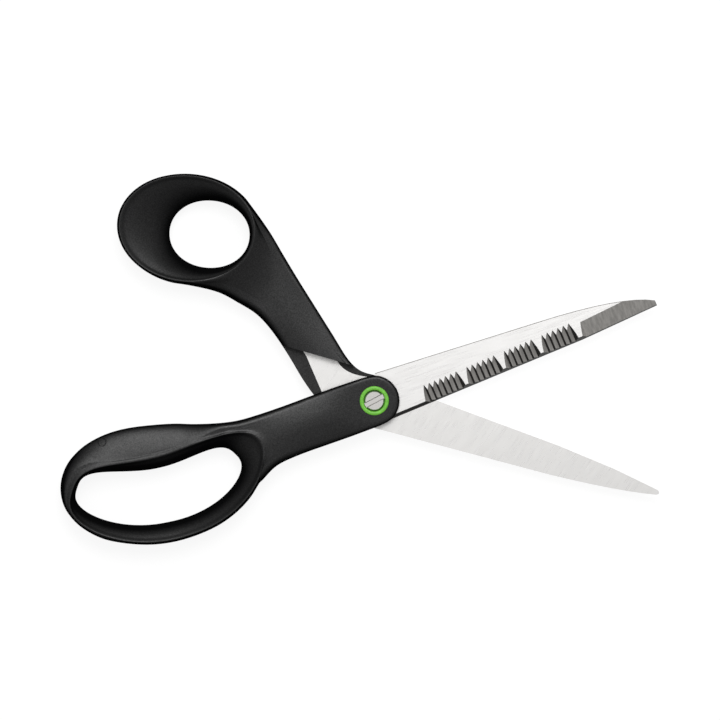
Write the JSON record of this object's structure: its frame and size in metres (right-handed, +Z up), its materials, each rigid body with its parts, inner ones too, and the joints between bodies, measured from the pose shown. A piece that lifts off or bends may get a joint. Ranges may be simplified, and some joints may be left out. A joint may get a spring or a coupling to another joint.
{
  "type": "pinking shears",
  "caption": "Long shears with a ridged front blade and a plain rear blade on a screw pivot, with black moulded finger and thumb loops and a green collar round the screw.",
  "frame": {"origin": "on the pivot axis, at the back face of the pivot nut, which is the plane the shears lie on", "axes": "+X along the front blade towards its tip, +Y towards the thumb loop, +Z up from the table towards the screw head"},
  "size_m": [0.2308, 0.1702, 0.014],
  "materials": {
    "blade_steel": "fine satin grain along the blade",
    "handle_plastic": "finely textured matte black",
    "pivot_steel": "turned satin steel",
    "spring_steel": "plain spring steel",
    "collar_plastic": "satin bright green"
  },
  "bodies": {
    "finger_half": {"front_blade": "blade_steel", "finger_handle": "handle_plastic", "pivot_collar": "collar_plastic"},
    "thumb_half": {"rear_blade": "blade_steel", "thumb_handle": "handle_plastic", "pivot_nut": "pivot_steel", "pivot_screw": "pivot_steel", "spring_washer": "spring_steel"}
  },
  "joints": [
    {"name": "blade_pivot", "type": "hinge", "parent": "finger_half", "child": "thumb_half", "pos_m": [0, 0, 0.007], "axis": [0, 0, -1], "range_deg": [-35.5, 55]}
  ]
}
